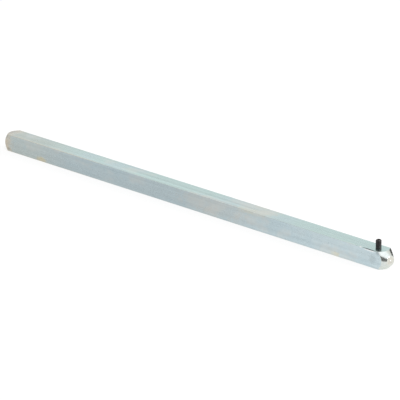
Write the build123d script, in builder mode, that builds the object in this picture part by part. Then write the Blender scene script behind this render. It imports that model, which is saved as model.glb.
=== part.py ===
from build123d import *
import os
from math import radians, sqrt, tan

# A square steel extension shaft with a slotted spring pin across one end.
# The shaft lies on one of its flats: +X runs along it towards the pin end, +Z is up and the
# pin stands along +Z. The origin is in the middle of the bottom flat.

# ------------------------------------------------------------------ driving dimensions (mm)
# square bar
across_flats = 10.0
overall_length = 300.0          # tail face to the tip of the turning pip
edge_radius = 0.4               # drawn edge between two flats

# turned nose at the pin end
nose_flat_diameter = 5.6
nose_half_angle = 40.0          # degrees, cone to shaft axis
pip_diameter = 1.4              # pip left where the turning tool stopped
pip_height = 0.4

# turned chamfer at the tail end
tail_flat_diameter = 6.0
tail_half_angle = 45.0

# slotted spring pin, pressed into a hole drilled right through the bar
pin_hole_diameter = 3.0
pin_setback = 4.3               # from where the nose cone leaves the bar's edges to the pin's axis
pin_stand = 4.7                 # pin above the top flat
pin_recess = 0.7                # pin's lower end inside the bottom flat
pin_spring_back = 0.1           # the free end stays this much wider than the hole
pin_wall = 0.6
pin_slot_width = 0.6
pin_taper_length = 0.5          # tapered lead at each end of the pin
pin_taper_depth = 0.3
pin_opening_length = 0.6        # height above the hole over which the pin opens out
hole_deburr = 0.12              # broken edge at both mouths of the hole

# long shallow nick pressed into the top edge beside the pin
nick_length = 11.0
nick_depth = 0.45
nick_angle = 60.0               # degrees, included angle of the V
nick_setback = 6.2              # from where the nose cone leaves the edges to the nick's middle

cut_margin = 1.0                # how far cutting profiles stand clear of the bar

# ------------------------------------------------------------------ sizes worked out from them
half_flats = across_flats / 2
axis_height = half_flats
edge_reach = half_flats * sqrt(2) - edge_radius * (sqrt(2) - 1)   # shaft axis to a rounded edge
turning_reach = edge_reach + cut_margin

tail_x = -overall_length / 2
tip_x = overall_length / 2
nose_x = tip_x - pip_height                                       # flat of the nose
nose_flat_radius = nose_flat_diameter / 2
nose_slope = 1 / tan(radians(nose_half_angle))                    # cone length for each mm of radius
nose_start_x = nose_x - (edge_reach - nose_flat_radius) * nose_slope
tail_flat_radius = tail_flat_diameter / 2
tail_slope = 1 / tan(radians(tail_half_angle))
pip_radius = pip_diameter / 2
pip_ball_radius = (pip_radius**2 + pip_height**2) / (2 * pip_height)

pin_x = nose_start_x - pin_setback
pin_hole_radius = pin_hole_diameter / 2
pin_free_radius = pin_hole_radius + pin_spring_back / 2
pin_bottom_z = pin_recess
pin_top_z = across_flats + pin_stand

# ------------------------------------------------------------------ square shaft
shaft_axis = Axis((0, 0, axis_height), (1, 0, 0))
axis_plane = Plane(origin=(0, 0, axis_height), x_dir=(1, 0, 0), z_dir=(0, -1, 0))

# the nick is rolled in by a V-edged wheel, whose plane holds the shaft's axis and the front top edge
edge_direction = Vector(0, -1, 1).normalized()
edge_crest = Vector(nose_start_x - nick_setback, 0, axis_height) + edge_direction * edge_reach
wheel_radius = (nick_length**2 / 4 + nick_depth**2) / (2 * nick_depth)
wheel_centre = edge_crest + edge_direction * (wheel_radius - nick_depth)
wheel_axis_direction = edge_direction.cross(Vector(1, 0, 0))
wheel_plane = Plane(origin=edge_crest, x_dir=wheel_axis_direction, z_dir=(1, 0, 0))
wheel_axis = Axis(wheel_centre, wheel_axis_direction)
nick_slope = tan(radians(nick_angle / 2))
nick_half_width = (nick_depth + cut_margin) * nick_slope

with BuildPart() as square_shaft:
    # the drawn square bar
    with BuildSketch(Plane.YZ.offset(tail_x)):
        with Locations((0, axis_height)):
            RectangleRounded(across_flats, across_flats, edge_radius)
    extrude(amount=overall_length)

    # both ends are turned about the shaft's axis, so each cone runs out over the four flats
    with BuildSketch(axis_plane):
        with BuildLine():
            Polyline(
                (nose_x, pip_radius),
                (nose_x, nose_flat_radius),
                (nose_x - (turning_reach - nose_flat_radius) * nose_slope, turning_reach),
                (tail_x + (turning_reach - tail_flat_radius) * tail_slope, turning_reach),
                (tail_x, tail_flat_radius),
                (tail_x, 0),
                (tip_x, 0),
            )
            RadiusArc((tip_x, 0), (nose_x, pip_radius), -pip_ball_radius)
        make_face()
    revolve(axis=shaft_axis, mode=Mode.INTERSECT)

    # cross hole for the spring pin, with both mouths deburred
    with Locations((pin_x, 0, across_flats)):
        Hole(radius=pin_hole_radius)
    hole_mouths = square_shaft.edges().filter_by(GeomType.CIRCLE).filter_by(Plane.XY)
    chamfer(hole_mouths, length=hole_deburr)

    # nick along the front top edge
    with BuildSketch(wheel_plane):
        Polygon(
            (0, -nick_depth),
            (nick_half_width, cut_margin),
            (-nick_half_width, cut_margin),
            align=None,
        )
    revolve(axis=wheel_axis, mode=Mode.SUBTRACT)

square_shaft.part.label = "square_shaft"

# ------------------------------------------------------------------ slotted spring pin
# A strip rolled into a C. The length inside the bar is squeezed to the hole, the free end opens out.
press_radii = (pin_hole_radius - pin_wall, pin_hole_radius)
free_radii = (pin_free_radius - pin_wall, pin_free_radius)

with BuildPart() as spring_pin:
    with BuildSketch(Plane.XZ.shift_origin((pin_x, 0, 0))):
        with BuildLine():
            Polyline(
                (press_radii[0], pin_bottom_z),
                (press_radii[1] - pin_taper_depth, pin_bottom_z),
                (press_radii[1], pin_bottom_z + pin_taper_length),
                (press_radii[1], across_flats),
                (free_radii[1], across_flats + pin_opening_length),
                (free_radii[1], pin_top_z - pin_taper_length),
                (free_radii[1] - pin_taper_depth, pin_top_z),
                (free_radii[0], pin_top_z),
                (free_radii[0], across_flats + pin_opening_length),
                (press_radii[0], across_flats),
                close=True,
            )
        make_face()
    revolve(axis=Axis((pin_x, 0, 0), (0, 0, 1)))

    # the slot faces the middle of the bar
    with BuildSketch(Plane.XY.offset(pin_bottom_z)):
        with Locations((pin_x, 0)):
            Rectangle(pin_free_radius + cut_margin, pin_slot_width, align=(Align.MAX, Align.CENTER))
    extrude(amount=pin_top_z - pin_bottom_z, mode=Mode.SUBTRACT)

spring_pin.part.label = "spring_pin"

# ------------------------------------------------------------------ export
os.makedirs("parts", exist_ok=True)
export_step(square_shaft.part, "parts/square_shaft.step")
export_step(spring_pin.part, "parts/spring_pin.step")
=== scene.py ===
import math

import bpy
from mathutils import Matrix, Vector


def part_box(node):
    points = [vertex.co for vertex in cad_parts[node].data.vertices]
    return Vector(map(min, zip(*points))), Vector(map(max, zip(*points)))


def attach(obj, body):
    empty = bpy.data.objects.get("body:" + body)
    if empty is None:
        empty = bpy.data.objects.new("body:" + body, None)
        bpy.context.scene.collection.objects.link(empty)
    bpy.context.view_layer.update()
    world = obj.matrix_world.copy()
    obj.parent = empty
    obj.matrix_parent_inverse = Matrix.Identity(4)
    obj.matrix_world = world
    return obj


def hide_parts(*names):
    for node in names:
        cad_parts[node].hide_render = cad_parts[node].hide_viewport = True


# A zinc plated square extension shaft with a black spring pin near its nose, on a white ground.
# Both CAD nodes are replaced by finer meshes of the same sizes.

MM = 0.001

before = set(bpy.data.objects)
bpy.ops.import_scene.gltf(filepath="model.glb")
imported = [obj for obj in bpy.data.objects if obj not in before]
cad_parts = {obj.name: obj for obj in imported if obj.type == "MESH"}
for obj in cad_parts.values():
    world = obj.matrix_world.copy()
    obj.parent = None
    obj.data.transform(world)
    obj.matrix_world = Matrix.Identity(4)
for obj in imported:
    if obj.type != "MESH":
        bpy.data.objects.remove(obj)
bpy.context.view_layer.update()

scene = bpy.context.scene
scene.view_settings.view_transform = "Standard"

bar_low, bar_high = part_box("square_shaft")
pin_low, pin_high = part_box("spring_pin")
bar_middle = (bar_low + bar_high) / 2

# Sizes of the CAD model that its boxes don't give, in metres
HALF_FLATS = (bar_high.y - bar_low.y) / 2
EDGE_RADIUS = 0.4 * MM
NOSE_FLAT_RADIUS = 2.8 * MM
NOSE_ANGLE = math.radians(40)
NOSE_OFFSET = (-0.3 * MM, 0.0)           # the nose is turned a little off the bar's axis, (y, z)
PIP_RADIUS = 0.7 * MM
PIP_HEIGHT = 0.4 * MM
TAIL_FLAT_RADIUS = 3.0 * MM
TAIL_ANGLE = math.radians(45)
NICK_LENGTH = 11 * MM
NICK_DEPTH = 0.45 * MM
NICK_HALF_ANGLE = math.radians(30)
NICK_SETBACK = 6.2 * MM
HOLE_RADIUS = 1.5 * MM
HOLE_DEBURR = 0.12 * MM
PIN_SPRING_BACK = 0.1 * MM
PIN_WALL = 0.6 * MM
PIN_SLOT_WIDTH = 0.6 * MM
PIN_TAPER_LENGTH = 0.5 * MM
PIN_TAPER_DEPTH = 0.3 * MM
PIN_OPENING_LENGTH = 0.6 * MM

axis_z = bar_middle.z
top_z = bar_high.z
front_y = bar_low.y
nose_x = bar_high.x - PIP_HEIGHT
edge_reach = HALF_FLATS * math.sqrt(2) - EDGE_RADIUS * (math.sqrt(2) - 1)
nose_start_x = nose_x - (edge_reach - NOSE_FLAT_RADIUS) / math.tan(NOSE_ANGLE)
tail_end_x = bar_low.x + (edge_reach - TAIL_FLAT_RADIUS) / math.tan(TAIL_ANGLE)
nick_x = nose_start_x - NICK_SETBACK
pin_radius = HOLE_RADIUS + PIN_SPRING_BACK / 2
pin_x = pin_high.x - pin_radius


# ------------------------------------------------------------------ small helpers
def direction(azimuth, elevation):
    """Unit vector. Azimuth 0 points to -Y, 90 to +X, in degrees."""
    a = math.radians(azimuth)
    e = math.radians(elevation)
    return Vector((math.cos(e) * math.sin(a), -math.cos(e) * math.cos(a), math.sin(e)))


NOISE_RANGE = (0.3, 0.7)        # where nearly all values of a noise texture lie
SPOT_RIM = (0.4, 1.3)          # a soft spot fades out between these shares of its size
MIX_COLOUR_SOCKETS = (6, 7)     # the two colours that go into a mix node
MIX_COLOUR_RESULT = 2


class Nodes:
    """Adds nodes to one tree and links them in one call."""

    def __init__(self, tree):
        self.tree = tree

    def fill(self, socket, value):
        """Links the socket to another node's output, or sets it to a constant."""
        if isinstance(value, bpy.types.NodeSocket):
            self.tree.links.new(value, socket)
        else:
            socket.default_value = value

    def add(self, kind, inputs=None, **settings):
        node = self.tree.nodes.new(kind)
        for name, value in settings.items():
            setattr(node, name, value)
        for name, value in (inputs or {}).items():
            self.fill(node.inputs[name], value)
        return node

    def math(self, operation, a, b=0.0):
        return self.add("ShaderNodeMath", {0: a, 1: b}, operation=operation).outputs[0]

    def ramp(self, value, low, high, to_low=0.0, to_high=1.0, smooth=True):
        """Goes from to_low to to_high while the value goes from low to high, and stays there."""
        inputs = {
            "Value": value,
            "From Min": low,
            "From Max": high,
            "To Min": to_low,
            "To Max": to_high,
        }
        kind = "SMOOTHSTEP" if smooth else "LINEAR"
        return self.add("ShaderNodeMapRange", inputs, interpolation_type=kind).outputs[0]

    def swing(self, noise, low, high):
        """The usual range of a noise texture, spread evenly from low to high."""
        return self.ramp(noise, *NOISE_RANGE, low, high, smooth=False)

    def mix(self, factor, a, b):
        node = self.add("ShaderNodeMix", {"Factor": factor}, data_type="RGBA")
        for socket, value in zip(MIX_COLOUR_SOCKETS, (a, b)):
            self.fill(node.inputs[socket], value)
        return node.outputs[MIX_COLOUR_RESULT]

    def vector_math(self, operation, inputs):
        return self.add("ShaderNodeVectorMath", inputs, operation=operation).outputs

    def minus(self, vector, other):
        return self.vector_math("SUBTRACT", {0: vector, 1: other})[0]

    def times(self, vector, factors):
        return self.vector_math("MULTIPLY", {0: vector, 1: factors})[0]

    def scale_colour(self, colour, factor):
        return self.vector_math("SCALE", {0: colour, "Scale": factor})[0]

    def split(self, vector):
        return self.add("ShaderNodeSeparateXYZ", {0: vector}).outputs

    def noise(self, vector, scale=1.0, detail=3.0, roughness=0.5):
        inputs = {"Vector": vector, "Scale": scale, "Detail": detail, "Roughness": roughness}
        return self.add("ShaderNodeTexNoise", inputs).outputs["Fac"]

    def soft_spot(self, place, middle, size, ragged):
        """1 in the middle of a soft spot of the given size, 0 outside it."""
        away = self.times(self.minus(place, middle), [1 / length for length in size])
        distance = self.vector_math("LENGTH", {0: away})["Value"]
        return self.ramp(self.math("ADD", distance, ragged), *SPOT_RIM, 1.0, 0.0)

    def bump(self, height, distance, below=None):
        inputs = {"Height": height, "Distance": distance}
        if below:
            inputs["Normal"] = below
        return self.add("ShaderNodeBump", inputs).outputs["Normal"]

    def rays(self):
        """1 for rays that show the background itself, and 1 for rays that metal mirrors."""
        paths = self.add("ShaderNodeLightPath").outputs
        seen = self.math("MAXIMUM", paths["Is Camera Ray"], paths["Is Transmission Ray"])
        return seen, paths["Is Glossy Ray"]


def new_material(name):
    material = bpy.data.materials.new(name)
    material.use_nodes = True
    tree = material.node_tree
    shader = tree.nodes["Principled BSDF"]
    return material, Nodes(tree), shader


# ------------------------------------------------------------------ camera
CAMERA_AZIMUTH = 45.7964
CAMERA_ELEVATION = 18.1012
CAMERA_DISTANCE = 2.77114
CAMERA_TARGET_SHIFT = 0.0002    # from the middle of the bar towards the tail
CAMERA_SENSOR = 36              # mm
CAMERA_LENS = 455.138           # mm
CAMERA_SHIFT = (0.017152, -0.005889)
CAMERA_CLIP_END = 100


def add_camera():
    """The photo's view, fitted to the outline of the bar."""
    back = direction(CAMERA_AZIMUTH, CAMERA_ELEVATION)
    data = bpy.data.cameras.new("camera")
    camera = bpy.data.objects.new("camera", data)
    scene.collection.objects.link(camera)
    target = Vector((bar_middle.x - CAMERA_TARGET_SHIFT, bar_middle.y, bar_middle.z))
    camera.location = target + back * CAMERA_DISTANCE
    camera.rotation_mode = "QUATERNION"
    camera.rotation_quaternion = (-back).to_track_quat("-Z", "Y")
    data.sensor_width = CAMERA_SENSOR
    data.lens = CAMERA_LENS
    data.shift_x, data.shift_y = CAMERA_SHIFT
    data.clip_end = CAMERA_CLIP_END
    scene.camera = camera


# ------------------------------------------------------------------ studio
WHITE = (1, 1, 1, 1)
BLACK = (0, 0, 0, 1)

AMBIENT = (0.9, 0.9, 0.9, 1)    # the world's light on matt surfaces
SOFT_BOX = (1.40, 1.42, 1.52, 1)
SOFT_BOX_AZIMUTH = 85
SOFT_BOX_ELEVATION = 58
SOFT_BOX_RIM = 50               # degrees from its middle, where it has faded out
SOFT_BOX_CORE = 8               # degrees from its middle, up to where it is fully bright

FLOOR_SIZE = 20
FLOOR_ALBEDO = 0.2
FLOOR_GLOW = 0.775              # with the lamps' light it makes the floor white to the camera
POOL_NEAR = 0.035               # half width of the mirrored pool of light, across the bar
POOL_FAR = 0.10                 # where it has faded out
POOL_FAR_LEVEL = 0.2
POOL_TAIL_X = -30 * MM          # between these places, measured from the middle of the bar,
POOL_NOSE_X = 120 * MM          # the pool gets brighter towards the nose
POOL_TAIL_LEVEL = 0.57
POOL_NOSE_LEVEL = 0.82


def add_world():
    """White studio. The metal mirrors a soft box above the nose as well."""
    world = bpy.data.worlds.new("studio")
    scene.world = world
    world.use_nodes = True
    n = Nodes(world.node_tree)
    background = world.node_tree.nodes["Background"]
    towards = n.add("ShaderNodeTexCoord").outputs["Generated"]
    middle = direction(SOFT_BOX_AZIMUTH, SOFT_BOX_ELEVATION)
    closeness = n.vector_math("DOT_PRODUCT", {0: towards, 1: middle})["Value"]
    rim = math.cos(math.radians(SOFT_BOX_RIM))
    core = math.cos(math.radians(SOFT_BOX_CORE))
    level = n.mix(n.ramp(closeness, rim, core), WHITE, SOFT_BOX)

    seen, glossy = n.rays()
    mirrored = n.mix(glossy, AMBIENT, level)
    n.fill(background.inputs["Color"], n.mix(seen, mirrored, WHITE))
    background.inputs["Strength"].default_value = 1.0


def add_floor():
    """Matt grey floor, white to the camera. The metal mirrors a pool of light on it."""
    bpy.ops.mesh.primitive_plane_add(size=FLOOR_SIZE, location=(0, 0, 0))
    floor = bpy.context.object
    floor.name = "floor"
    material, n, shader = new_material("floor")
    shader.inputs["Base Color"].default_value = (FLOOR_ALBEDO, FLOOR_ALBEDO, FLOOR_ALBEDO, 1)
    shader.inputs["Roughness"].default_value = 1.0
    shader.inputs["Specular IOR Level"].default_value = 0.0
    x, y, _ = n.split(n.add("ShaderNodeNewGeometry").outputs["Position"])
    pool = n.ramp(n.math("ABSOLUTE", y), POOL_NEAR, POOL_FAR, 1.0, POOL_FAR_LEVEL)
    tail_x = bar_middle.x + POOL_TAIL_X
    along = n.ramp(x, tail_x, bar_middle.x + POOL_NOSE_X, POOL_TAIL_LEVEL, POOL_NOSE_LEVEL)
    seen, glossy = n.rays()
    mirrored = n.math("MULTIPLY", n.math("MULTIPLY", pool, along), glossy)
    shown = n.math("MULTIPLY", seen, FLOOR_GLOW)
    shader.inputs["Emission Color"].default_value = WHITE
    n.fill(shader.inputs["Emission Strength"], n.math("ADD", mirrored, shown))
    floor.data.materials.append(material)


def add_lamp(name, azimuth, elevation, distance, size, power, mirrored=True):
    """A square lamp that faces the middle of the bar."""
    data = bpy.data.lights.new(name, "AREA")
    data.shape = "SQUARE"
    data.size = size
    data.energy = power
    lamp = bpy.data.objects.new(name, data)
    scene.collection.objects.link(lamp)
    towards = direction(azimuth, elevation)
    lamp.location = bar_middle + towards * distance
    lamp.rotation_mode = "QUATERNION"
    lamp.rotation_quaternion = towards.to_track_quat("Z", "Y")
    lamp.visible_glossy = mirrored


def add_card(name, azimuth, distance, width, height, level):
    """A dark card that stands by the nose and faces it. Only the metal mirrors it."""
    bpy.ops.mesh.primitive_plane_add(size=1)
    card = bpy.context.object
    card.name = name
    towards = direction(azimuth, 0)
    card.location = Vector((nose_x, bar_middle.y, height / 2)) + towards * distance
    card.rotation_mode = "QUATERNION"
    card.rotation_quaternion = towards.to_track_quat("Z", "Y")
    card.scale = (width, height, 1)
    material, _, shader = new_material(name)
    shader.inputs["Base Color"].default_value = BLACK
    shader.inputs["Specular IOR Level"].default_value = 0.0
    shader.inputs["Emission Color"].default_value = WHITE
    shader.inputs["Emission Strength"].default_value = level
    card.data.materials.append(material)
    card.visible_camera = False
    card.visible_diffuse = False
    card.visible_shadow = False


# ------------------------------------------------------------------ zinc
# Painted light: the front flat and the top flat are copies of one zinc, lighter and darker for how
# the light falls on them. Near the tail both turn warmer and the top one darker.
ZINC_FRONT_AS_LIT = (0.515, 0.610, 0.640, 1)
ZINC_TOP_AS_LIT = (0.455, 0.605, 0.590, 1)
ZINC_FRONT_TAIL_AS_LIT = (0.550, 0.618, 0.608, 1)
ZINC_TOP_TAIL_AS_LIT = (0.455, 0.515, 0.480, 1)
ZINC_TURNED = (0.695, 0.710, 0.655, 1)
TAN = (0.68, 0.61, 0.50, 1)
YELLOW = (0.72, 0.62, 0.38, 1)
BEIGE = (0.65, 0.625, 0.57, 1)
GREY = (0.605, 0.615, 0.585, 1)
OLIVE = (0.575, 0.610, 0.550, 1)
BLUE = (0.47, 0.585, 0.63, 1)
# dirt, and also painted shade below the pip and in the nick
DIRT_AND_SHADE = (0.16, 0.17, 0.17, 1)
# polished metal, and also a painted highlight on the pip
POLISHED_AND_HIGHLIGHT = (0.86, 0.88, 0.88, 1)

TAIL_TINT_FULL = 10 * MM        # from where the tail's cone ends: its own tint up to here,
TAIL_TINT_GONE = 65 * MM        # and none of it from here on
TURNED_TINT = 0.8               # share of ZINC_TURNED on the turned ends
BLUE_TINT = 0.5
GREY_TINT = 0.4
RAGGEDNESS = 1.2                # how far the mottle eats into the rim of a soft spot

# Noise scales along and across the bar, and of the patterns that are alike in all directions
LINE_SCALE = (7, 900, 900)
FINE_LINE_SCALE = (60, 4200, 4200)
CLOUD_STRETCH = (0.5, 1, 1)
CLOUD_SCALE = 110
BLUE_STRETCH = (0.6, 1, 1)
BLUE_SCALE = 75
MOTTLE_SCALE = 700
GRAIN_SCALE = 5200
SPECK_SCALE = 300.0
RING_SCALE = 2100.0
RING_DISTORTION = 0.6

# How much lighter or darker each pattern makes the plate
LINE_SHADE = 0.05
CLOUD_SHADE = 0.03
MOTTLE_SHADE = 0.035
FINE_LINE_SHADE = 0.02

# Bands that the drawing die left on the top flat, one lighter and one darker as painted
# reflection: y, half width, first and last x, change of shade
DIE_BANDS_AND_SHEEN = (
    (-2.8 * MM, 1.1 * MM, -95 * MM, 55 * MM, 0.07),
    (-0.6 * MM, 1.2 * MM, -45 * MM, 45 * MM, -0.14),
)
DIE_BAND_FADE = 15 * MM

TOP_FLAT_LIGHT_RANGE = (0.3, 0.8)          # the top flat's painted-light copy of the zinc fades in over this range of the normal's z
BLUE_RANGE = (0.47, 0.62)       # noise levels over which a tint or mark fades in
GREY_RANGE = (0.50, 0.66)
WORN_RANGE = (0.4, 0.6)
SPECK_RANGE = (0.02, 0.09)
SPECK_SWING = 0.06
EDGE_BAND = (0.55 * MM, 0.1 * MM)       # an edge's wear fades in between these, from the corner
TOP_BAND = (0.5 * MM, 0.2 * MM)         # and the die bands' painted reflection between these, below the top flat
WORN_EDGE = 0.08                # share of polished metal along the edges
BARE_EDGE_TAIL = 0.55           # share of bare tan metal along the edges, up to BARE_EDGE_X[0]
BARE_EDGE_REST = 0.15           # and from BARE_EDGE_X[1] on
BARE_EDGE_X = (-85 * MM, -60 * MM)
# dirt and painted shade towards the floor of the nick
NICK_DIRT_AND_SHADE = 0.8
NICK_DIRT_AND_SHADE_RANGE = (-0.45, -0.08)        # change of the surface, in depths of the nick
LIP_POLISH = 0.8
LIP_POLISH_RANGE = (0.08, 0.25)
SPECK_DIRT = 0.4

DRAWN_ROUGHNESS = 0.24
TURNED_ROUGHNESS = 0.17
ROUGHNESS_SPREAD = 0.08
LINE_ROUGHNESS = (-0.02, 0.04)

GRAIN_RELIEF = 1.5e-6
MOTTLE_RELIEF = 6e-6
LINE_RELIEF = 6e-6
RING_RELIEF = 3e-6

# Stains, and a painted highlight and painted shade: colour, strength, middle in metres, size along
# x, y and z in millimetres
STAINS_AND_PAINTED_LIGHT = (
    # soft patches on the front flat and the top flat
    (BEIGE, 0.6, (20 * MM, front_y, top_z - 4 * MM), (26, 3, 6)),
    (OLIVE, 1.0, (50 * MM, 0, top_z), (14, 14, 2)),
    (DIRT_AND_SHADE, 0.06, (-117 * MM, -1 * MM, top_z), (6, 2.5, 2)),
    # two spots on the lower front edge
    (YELLOW, 0.6, (-117.5 * MM, front_y, 1.2 * MM), (4.5, 3, 1.7)),
    (YELLOW, 0.75, (113.5 * MM, front_y, 1.2 * MM), (3.5, 3, 1.7)),
    # the turned tail and the flat of the nose
    (TAN, 0.95, (bar_low.x, 0, axis_z), (7.5, 30, 30)),
    (TAN, 0.5, (nose_x, NOSE_OFFSET[0], axis_z), (0.5, 2.6, 2.6)),
    # a painted highlight on the pip and painted shade below it
    (POLISHED_AND_HIGHLIGHT, 1.0, (bar_high.x, -0.6 * MM, axis_z + 0.45 * MM), (0.4, 0.5, 0.4)),
    (DIRT_AND_SHADE, 0.6, (nose_x, 0.1 * MM, axis_z - 0.9 * MM), (0.3, 0.6, 0.35)),
    # darker on the upper side and at the lower front corner of the tail
    (DIRT_AND_SHADE, 0.38, (bar_low.x + 2 * MM, 0, top_z - 0.5 * MM), (4, 9, 2.5)),
    (DIRT_AND_SHADE, 0.35, (-145 * MM, front_y, 1.5 * MM), (1.0, 1.0, 0.8)),
    # a scuff on the front flat beside the pin, the bright start of the nick and its dark end, dirt
    # and painted shade
    (DIRT_AND_SHADE, 0.22, (141 * MM, front_y, 4.8 * MM), (2.6, 2, 2.4)),
    (POLISHED_AND_HIGHLIGHT, 0.8, (nick_x - 6.6 * MM, front_y, top_z - 0.2 * MM), (1.0, 0.6, 0.5)),
    (DIRT_AND_SHADE, 0.4, (144.5 * MM, front_y, 9.0 * MM), (1.3, 1.5, 1.3)),
)


def lay_stains_and_painted_light(n, plate, centred, mottle):
    """Lays the stains, with the table's painted highlight and painted shade, over the plate's
    colour.
    """
    ragged = n.math("MULTIPLY", n.math("SUBTRACT", mottle, 0.5), RAGGEDNESS)
    for colour, strength, middle, size in STAINS_AND_PAINTED_LIGHT:
        centre = (middle[0], middle[1], middle[2] - axis_z)
        spot = n.soft_spot(centred, centre, [length * MM for length in size], ragged)
        plate = n.mix(n.math("MULTIPLY", spot, strength), plate, colour)
    return plate


def with_die_bands_and_sheen(n, shade_value, x, y, z):
    """Adds the light and the dark band of the die to the shade, as painted reflection."""
    on_top = n.ramp(z, HALF_FLATS - TOP_BAND[0], HALF_FLATS - TOP_BAND[1])
    fade = DIE_BAND_FADE
    for across, half_width, start, end, gain in DIE_BANDS_AND_SHEEN:
        aside = n.math("ABSOLUTE", n.math("SUBTRACT", y, across))
        band_sheen = n.math("MULTIPLY", n.ramp(aside, 0.0, half_width, gain, 0.0), on_top)
        band_sheen = n.math("MULTIPLY", band_sheen, n.ramp(x, start - fade, start + fade))
        band_sheen = n.math("MULTIPLY", band_sheen, n.ramp(x, end - fade, end + fade, 1.0, 0.0))
        shade_value = n.math("ADD", shade_value, band_sheen)
    return shade_value


def zinc_material(name, turned):
    """Bright zinc plate over steel. The flats have drawing lines, the ends turning marks."""
    material, n, shader = new_material(name)
    coordinates = n.add("ShaderNodeTexCoord").outputs
    centred = n.minus(coordinates["Object"], (0, 0, axis_z))
    x, y, z = n.split(centred)
    normal_z = n.split(coordinates["Normal"])["Z"]

    lines = n.noise(n.times(centred, LINE_SCALE))
    fine_lines = n.noise(n.times(centred, FINE_LINE_SCALE), detail=2.0)
    clouds = n.noise(n.times(centred, CLOUD_STRETCH), CLOUD_SCALE, roughness=0.6)
    mottle = n.noise(centred, MOTTLE_SCALE, roughness=0.6)
    grain = n.noise(centred, GRAIN_SCALE, detail=2.0)

    # tint, with painted light: the front flat and the top flat get their own lighter and darker
    # copies of the zinc
    top_flat_light = n.ramp(n.math("ABSOLUTE", normal_z), *TOP_FLAT_LIGHT_RANGE)
    at_tail = n.ramp(x, tail_end_x + TAIL_TINT_FULL, tail_end_x + TAIL_TINT_GONE, 1.0, 0.0)
    front_plate_as_lit = n.mix(at_tail, ZINC_FRONT_AS_LIT, ZINC_FRONT_TAIL_AS_LIT)
    top_plate_as_lit = n.mix(at_tail, ZINC_TOP_AS_LIT, ZINC_TOP_TAIL_AS_LIT)
    plate = n.mix(top_flat_light, front_plate_as_lit, top_plate_as_lit)
    if turned:
        plate = n.mix(TURNED_TINT, plate, ZINC_TURNED)
    plate = lay_stains_and_painted_light(n, plate, centred, mottle)
    bluish = n.noise(n.times(centred, BLUE_STRETCH), BLUE_SCALE, roughness=0.6)
    plate = n.mix(n.ramp(bluish, *BLUE_RANGE, 0.0, BLUE_TINT), plate, BLUE)
    plate = n.mix(n.ramp(clouds, *GREY_RANGE, 0.0, GREY_TINT), plate, GREY)

    # light and dark, from drawing lines, clouds and mottle, and the die bands' painted reflection
    shade_value = n.swing(lines, -LINE_SHADE, LINE_SHADE)
    patterns = ((clouds, CLOUD_SHADE), (mottle, MOTTLE_SHADE), (fine_lines, FINE_LINE_SHADE))
    for value, change in patterns:
        shade_value = n.math("ADD", shade_value, n.swing(value, -change, change))
    shade_value = with_die_bands_and_sheen(n, shade_value, x, y, z)
    plate = n.scale_colour(plate, n.math("ADD", shade_value, 1.0))

    # the plate is thin along the edges, polished in places and rubbed off near the tail
    nearer_edge = n.math("MINIMUM", n.math("ABSOLUTE", y), n.math("ABSOLUTE", z))
    edge = n.ramp(nearer_edge, HALF_FLATS - EDGE_BAND[0], HALF_FLATS - EDGE_BAND[1])
    worn = n.math("MULTIPLY", edge, n.ramp(clouds, *WORN_RANGE, 0.0, WORN_EDGE))
    plate = n.mix(worn, plate, POLISHED_AND_HIGHLIGHT)
    bareness = n.ramp(x, *BARE_EDGE_X, BARE_EDGE_TAIL, BARE_EDGE_REST)
    plate = n.mix(n.math("MULTIPLY", edge, bareness), plate, TAN)

    # dirt and painted shade in the nick, bright metal on its raised lips, and scattered specks
    pressed = n.add("ShaderNodeAttribute", attribute_name="pressed").outputs["Fac"]
    plate = n.mix(n.ramp(pressed, *NICK_DIRT_AND_SHADE_RANGE, NICK_DIRT_AND_SHADE, 0.0), plate, DIRT_AND_SHADE)
    plate = n.mix(n.ramp(pressed, *LIP_POLISH_RANGE, 0.0, LIP_POLISH), plate, POLISHED_AND_HIGHLIGHT)
    cells = n.add("ShaderNodeTexVoronoi", {"Vector": centred, "Scale": SPECK_SCALE})
    ragged_rim = n.swing(grain, -SPECK_SWING, SPECK_SWING)
    specks = n.math("ADD", cells.outputs["Distance"], ragged_rim)
    plate = n.mix(n.ramp(specks, *SPECK_RANGE, SPECK_DIRT, 0.0), plate, DIRT_AND_SHADE)
    n.fill(shader.inputs["Base Color"], plate)

    shader.inputs["Metallic"].default_value = 1.0
    smoothest = TURNED_ROUGHNESS if turned else DRAWN_ROUGHNESS
    roughness = n.swing(clouds, smoothest, smoothest + ROUGHNESS_SPREAD)
    roughness = n.math("ADD", roughness, n.swing(fine_lines, *LINE_ROUGHNESS))
    n.fill(shader.inputs["Roughness"], roughness)

    relief = n.bump(grain, GRAIN_RELIEF)
    relief = n.bump(mottle, MOTTLE_RELIEF, below=relief)
    if turned:
        inputs = {"Vector": centred, "Scale": RING_SCALE, "Distortion": RING_DISTORTION}
        rings = n.add("ShaderNodeTexWave", inputs, wave_type="RINGS", rings_direction="X")
        relief = n.bump(rings.outputs["Fac"], RING_RELIEF, below=relief)
    else:
        relief = n.bump(lines, LINE_RELIEF, below=relief)
    n.fill(shader.inputs["Normal"], relief)
    return material


# ------------------------------------------------------------------ black spring steel
PIN_DARK = (0.011, 0.009, 0.009, 1)
PIN_LIGHT = (0.035, 0.028, 0.027, 1)
PIN_RUBBED_AND_HIGHLIGHT = (0.10, 0.09, 0.085, 1)
PIN_STREAK_SCALE = (1500, 1500, 120)
PIN_GRAIN_SCALE = 9000
PIN_GRAIN_RELIEF = 8e-6
PIN_STREAK_RANGE = (0.35, 0.7)
PIN_RUBBED_AND_HIGHLIGHT_RANGE = (0.45, 0.65)
PIN_RUBBED_AND_HIGHLIGHT_SHARE = 0.6
PIN_RIM = (0.7 * MM, 0.1 * MM)  # the worn rim with its painted highlight fades in between these, below the pin's top
PIN_ROUGHNESS = (0.32, 0.5)
PIN_SPECULAR = 0.3


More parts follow.
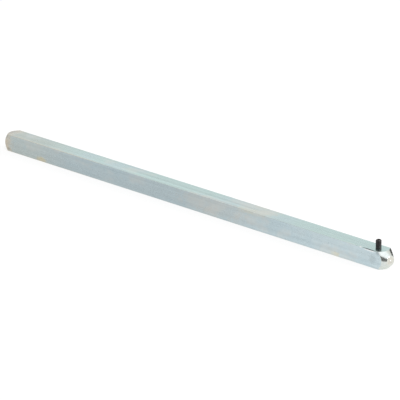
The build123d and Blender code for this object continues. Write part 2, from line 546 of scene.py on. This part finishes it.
def black_material():
    """Phosphated and oiled spring steel, worn bright on its rim, where a highlight is painted as
    well.
    """
    material, n, shader = new_material("black_spring_steel")
    place = n.add("ShaderNodeTexCoord").outputs["Object"]
    streaks = n.noise(n.times(place, PIN_STREAK_SCALE))
    grain = n.noise(place, PIN_GRAIN_SCALE, roughness=0.65)
    height = n.split(place)["Z"]
    colour = n.mix(n.ramp(streaks, *PIN_STREAK_RANGE), PIN_DARK, PIN_LIGHT)
    rim = n.ramp(height, pin_high.z - PIN_RIM[0], pin_high.z - PIN_RIM[1])
    # worn rim, with a painted highlight on it
    rim_wear_and_highlight = n.math("MULTIPLY", rim, n.ramp(grain, *PIN_RUBBED_AND_HIGHLIGHT_RANGE, 0.0, PIN_RUBBED_AND_HIGHLIGHT_SHARE))
    n.fill(shader.inputs["Base Color"], n.mix(rim_wear_and_highlight, colour, PIN_RUBBED_AND_HIGHLIGHT))
    n.fill(shader.inputs["Roughness"], n.swing(streaks, *PIN_ROUGHNESS))
    shader.inputs["Specular IOR Level"].default_value = PIN_SPECULAR
    n.fill(shader.inputs["Normal"], n.bump(grain, PIN_GRAIN_RELIEF))
    return material


# ------------------------------------------------------------------ meshes
CORNER_SOFTNESS = 0.07 * MM     # how far the turned corners are broken
CORNER_STEPS = 3
ARC_STEPS = 8
NICK_ARC_STEPS = 20
NICK_CORNER = 1                 # the corner between the top flat and the front flat
FLAT_OFFSETS = [0, 0.6, 1.2, 1.8, 2.4, 3.0, 3.5, 4.0, 4.3, 4.48]    # columns, mm from the middle

COARSE_ROW = 3 * MM
FINE_ROW = 0.25 * MM
FINE_MARGIN = 4 * FINE_ROW      # the even rows end this far before the nose's cone
FINE_REACH = 0.6                # share of the nick's length that has fine rows before its middle
TAIL_FLAT_ROWS = 5
TAIL_CONE_ROWS = 4
TAIL_JOIN_ROWS = 2
NOSE_JOIN_ROWS = 3
NOSE_CONE_ROWS = 8
NOSE_FLAT_ROWS = 4
PIP_ROWS = 6

NICK_RUN_OUT = 1.15             # the nick changes the surface up to this share of its half length
NICK_EDGE_ONLY = 0.8            # and only this near the edge, as the cosine seen from the axis
FRONT_LIP = 0.13 * MM
TOP_LIP = 0.05 * MM
LIP_ASIDE = 0.5 * MM            # from the bar's edge to the crest of a lip
LIP_WIDTH = 0.3 * MM
LIP_LENGTH = 0.8                # share of the nick's half length

HOLE_SEGMENTS = 90
CUT_MARGIN = 0.5 * MM           # how far the hole's cutter stands out of the bar
SHAFT_CREASE = 20               # degrees
PIN_SEGMENTS = 72
PIN_CREASE = 35                 # degrees


def between(a, b, count):
    """count points from a to b, both left out."""
    points = []
    for k in range(1, count + 1):
        points.append(tuple(p + (q - p) * k / (count + 1) for p, q in zip(a, b)))
    return points


def broken_corner(before, corner, after):
    """A small curve in place of a corner of a profile."""
    points = []
    for k in range(CORNER_STEPS + 1):
        t = k / CORNER_STEPS
        place = []
        for p, q, r in zip(before, corner, after):
            start = q + (p - q) * CORNER_SOFTNESS / math.dist(before, corner)
            end = q + (r - q) * CORNER_SOFTNESS / math.dist(after, corner)
            place.append((1 - t) ** 2 * start + 2 * t * (1 - t) * q + t * t * end)
        points.append(tuple(place))
    return points


def section_columns():
    """Points around the square section, anticlockwise seen from the nose, (y, z) from the axis."""
    inner = HALF_FLATS - EDGE_RADIUS
    offsets = [-o * MM for o in reversed(FLAT_OFFSETS[1:])] + [o * MM for o in FLAT_OFFSETS]
    points = []
    for side in range(4):
        c, s = round(math.cos(side * math.pi / 2)), round(math.sin(side * math.pi / 2))
        quarter = [(HALF_FLATS, offset) for offset in offsets]
        steps = NICK_ARC_STEPS if side == NICK_CORNER else ARC_STEPS
        for k in range(steps + 1):
            a = math.pi / 2 * k / steps
            quarter.append((inner + EDGE_RADIUS * math.cos(a), inner + EDGE_RADIUS * math.sin(a)))
        points += [(c * y - s * z, s * y + c * z) for y, z in quarter]
    return points


def nicked_reach(x, y, z, reach):
    """Distance from the axis to the surface, once a V wheel has pressed the front top edge."""
    outward = (z - y) / math.sqrt(2) / reach
    sideways = -(y + z) / math.sqrt(2) / reach      # positive towards the front flat
    s = 2 * (x - nick_x) / NICK_LENGTH
    if outward < NICK_EDGE_ONLY or abs(s) > NICK_RUN_OUT:
        return reach
    aside = sideways * reach
    spread = math.exp(-((s / LIP_LENGTH) ** 4))
    front_lip = FRONT_LIP * math.exp(-((aside - LIP_ASIDE) / LIP_WIDTH) ** 2)
    top_lip = TOP_LIP * math.exp(-((aside + LIP_ASIDE) / LIP_WIDTH) ** 2)
    raised = reach + spread * (front_lip + top_lip)
    floor_reach = edge_reach - NICK_DEPTH * (1 - s * s)
    opening = outward - abs(sideways) / math.tan(NICK_HALF_ANGLE)
    if opening <= 0:
        return raised
    return min(raised, floor_reach / opening)


def shaft_profile(reach, nose_reach):
    """One line along the shaft, from the tail to the tip, as (x, distance from the axis).

    It starts beside the middle of the tail flat. From the nose's cone on, the distance is
    measured from the nose's own axis, from which the line of the flats is nose_reach away.
    """
    tail_edge = (bar_low.x, TAIL_FLAT_RADIUS)
    tail_run_out = (bar_low.x + (reach - TAIL_FLAT_RADIUS) / math.tan(TAIL_ANGLE), reach)
    nose_cone_length = (nose_reach - NOSE_FLAT_RADIUS) / math.tan(NOSE_ANGLE)
    nose_run_out = (nose_x - nose_cone_length, nose_reach)
    nose_edge = (nose_x, NOSE_FLAT_RADIUS)
    pip_foot = (nose_x, PIP_RADIUS)

    first = (tail_end_x + FINE_ROW, reach)
    fine_start = (nick_x - FINE_REACH * NICK_LENGTH, reach)
    last = (nose_start_x - FINE_MARGIN, reach)
    coarse = round((fine_start[0] - first[0]) / COARSE_ROW)
    fine = round((last[0] - fine_start[0]) / FINE_ROW)

    profile = between((bar_low.x, 0), tail_edge, TAIL_FLAT_ROWS)
    profile += broken_corner((bar_low.x, 0), tail_edge, tail_run_out)
    profile += between(tail_edge, tail_run_out, TAIL_CONE_ROWS)
    profile += broken_corner(tail_edge, tail_run_out, first)
    turned_tail = len(profile)
    profile += between(tail_run_out, first, TAIL_JOIN_ROWS)
    profile += [first] + between(first, fine_start, coarse)
    profile += [fine_start] + between(fine_start, last, fine) + [last]
    profile += between(last, (nose_run_out[0], reach), NOSE_JOIN_ROWS)
    turned_nose = len(profile)
    profile += broken_corner((last[0], nose_reach), nose_run_out, nose_edge)
    profile += between(nose_run_out, nose_edge, NOSE_CONE_ROWS)
    profile += broken_corner(nose_run_out, nose_edge, pip_foot)
    profile += between(nose_edge, pip_foot, NOSE_FLAT_ROWS)
    ball = (PIP_RADIUS ** 2 + PIP_HEIGHT ** 2) / (2 * PIP_HEIGHT)
    spread = math.asin(PIP_RADIUS / ball)
    for k in range(PIP_ROWS):
        a = spread * (1 - k / PIP_ROWS)
        profile.append((bar_high.x - ball * (1 - math.cos(a)), ball * math.sin(a)))
    return profile, turned_tail, turned_nose


def mesh_object(name, vertices, faces):
    mesh = bpy.data.meshes.new(name)
    mesh.from_pydata(vertices, [], faces)
    mesh.validate()
    piece = bpy.data.objects.new(name, mesh)
    scene.collection.objects.link(piece)
    return piece


def shade(piece, angle):
    """Smooth shading that keeps every crease sharper than the angle, in degrees."""
    mesh = piece.data
    mesh.polygons.foreach_set("use_smooth", [True] * len(mesh.polygons))
    mesh.set_sharp_from_angle(angle=math.radians(angle))
    mesh.update()


def ring_faces(start, count, rows):
    """Quads between rows of count points each, where every row closes into a ring."""
    faces = []
    for row in range(rows - 1):
        for k in range(count):
            a = start + row * count + k
            b = start + row * count + (k + 1) % count
            faces.append((a, b, b + count, a + count))
    return faces


def revolved(name, profile, x, segments):
    """A closed solid turned about an upright axis at x. The profile runs upwards, (radius, z)."""
    vertices = [(x, 0, profile[0][1])]
    for radius, z in profile[1:-1]:
        for k in range(segments):
            a = 2 * math.pi * k / segments
            vertices.append((x + radius * math.cos(a), radius * math.sin(a), z))
    vertices.append((x, 0, profile[-1][1]))
    faces = ring_faces(1, segments, len(profile) - 2)
    top = len(vertices) - 1
    for k in range(segments):
        after = (k + 1) % segments
        faces.append((0, 1 + after, 1 + k))
        faces.append((top, top - segments + k, top - segments + after))
    return mesh_object(name, vertices, faces)


def cut(piece, cutter):
    """Takes the cutter out of the piece, and deletes it."""
    modifier = piece.modifiers.new("cut", "BOOLEAN")
    modifier.operation = "DIFFERENCE"
    modifier.solver = "EXACT"
    modifier.object = cutter
    view_layer = bpy.context.view_layer
    view_layer.objects.active = piece
    with bpy.context.temp_override(object=piece, active_object=piece):
        bpy.ops.object.modifier_apply(modifier="cut")
    bpy.data.objects.remove(cutter)


def hole_cutter():
    """The cross hole with its two broken edges."""
    bottom, top = bar_low.z, bar_high.z
    flare = HOLE_DEBURR + CUT_MARGIN
    profile = [
        (0, bottom - CUT_MARGIN),
        (HOLE_RADIUS + flare, bottom - CUT_MARGIN),
        (HOLE_RADIUS, bottom + HOLE_DEBURR),
        (HOLE_RADIUS, top - HOLE_DEBURR),
        (HOLE_RADIUS + flare, top + CUT_MARGIN),
        (0, top + CUT_MARGIN),
    ]
    return revolved("hole", profile, pin_x, HOLE_SEGMENTS)


def make_shaft(drawn, turned):
    """The square bar with its turned ends, its nick and its cross hole."""
    columns = section_columns()
    count = len(columns)
    lines = []
    for y, z in columns:
        reach = math.hypot(y, z)
        nose_reach = math.dist((y, z), NOSE_OFFSET)
        profile, turned_tail, turned_nose = shaft_profile(reach, nose_reach)
        line = []
        for row, (x, radius) in enumerate(profile):
            change = 0.0
            if turned_tail <= row < turned_nose:
                radius = nicked_reach(x, y, z, reach)
                change = (radius - reach) / NICK_DEPTH
            middle, whole = ((0, 0), reach) if row < turned_nose else (NOSE_OFFSET, nose_reach)
            part = radius / whole
            across = middle[0] + (y - middle[0]) * part
            height = axis_z + middle[1] + (z - middle[1]) * part
            line.append((x, across, height, change))
        lines.append(line)
    rows = len(lines[0])
    vertices = [line[row][:3] for row in range(rows) for line in lines]
    changes = [line[row][3] for row in range(rows) for line in lines] + [0.0, 0.0]
    faces = ring_faces(0, count, rows)
    tail_centre = len(vertices)
    tip = tail_centre + 1
    vertices += [(bar_low.x, 0, axis_z), (bar_high.x, NOSE_OFFSET[0], axis_z + NOSE_OFFSET[1])]
    for k in range(count):
        after = (k + 1) % count
        faces.append((tail_centre, after, k))
        faces.append((tip, (rows - 1) * count + k, (rows - 1) * count + after))

    shaft = mesh_object("drawn_shaft", vertices, faces)
    pressed = shaft.data.attributes.new("pressed", "FLOAT", "POINT")
    pressed.data.foreach_set("value", changes)
    shaft.data.materials.append(drawn)
    shaft.data.materials.append(turned)
    for index, face in enumerate(shaft.data.polygons):
        row = index // count
        face.material_index = 0 if turned_tail - 1 <= row < turned_nose else 1
    cut(shaft, hole_cutter())
    shade(shaft, SHAFT_CREASE)
    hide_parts("square_shaft")
    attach(shaft, "root")


def make_pin(material):
    """A strip rolled into a C, squeezed inside the hole and a little wider above it."""
    free = pin_radius
    bottom, top, mouth = pin_low.z, pin_high.z, bar_high.z
    corners = [
        (HOLE_RADIUS - PIN_WALL, bottom),
        (HOLE_RADIUS - PIN_TAPER_DEPTH, bottom),
        (HOLE_RADIUS, bottom + PIN_TAPER_LENGTH),
        (HOLE_RADIUS, mouth),
        (free, mouth + PIN_OPENING_LENGTH),
        (free, top - PIN_TAPER_LENGTH),
        (free - PIN_TAPER_DEPTH, top),
        (free - PIN_WALL, top),
        (free - PIN_WALL, mouth + PIN_OPENING_LENGTH),
        (HOLE_RADIUS - PIN_WALL, mouth),
    ]
    outline = []
    for k, corner in enumerate(corners):
        outline += broken_corner(corners[k - 1], corner, corners[(k + 1) % len(corners)])
    count = len(outline)
    vertices = []
    for k in range(PIN_SEGMENTS + 1):
        for radius, z in outline:
            half_slot = math.asin(PIN_SLOT_WIDTH / 2 / radius)
            a = -math.pi + half_slot + (2 * math.pi - 2 * half_slot) * k / PIN_SEGMENTS
            vertices.append((pin_x + radius * math.cos(a), radius * math.sin(a), z))
    faces = [tuple(reversed(face)) for face in ring_faces(0, count, PIN_SEGMENTS + 1)]
    faces.append(tuple(range(count)))
    faces.append(tuple(PIN_SEGMENTS * count + k for k in reversed(range(count))))
    pin = mesh_object("rolled_pin", vertices, faces)
    pin.data.materials.append(material)
    shade(pin, PIN_CREASE)
    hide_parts("spring_pin")
    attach(pin, "root")


# ------------------------------------------------------------------ the scene
add_camera()
add_world()
add_floor()
add_lamp("key", azimuth=60, elevation=60, distance=3.0, size=1.6, power=32, mirrored=False)
add_lamp("side", azimuth=112, elevation=18, distance=1.5, size=0.35, power=14)
add_card("front_card", azimuth=36, distance=28 * MM, width=16 * MM, height=23 * MM, level=0.16)
add_card("back_card", azimuth=198, distance=34 * MM, width=18 * MM, height=22 * MM, level=0.10)
make_shaft(zinc_material("zinc_drawn", turned=False), zinc_material("zinc_turned", turned=True))
make_pin(black_material())
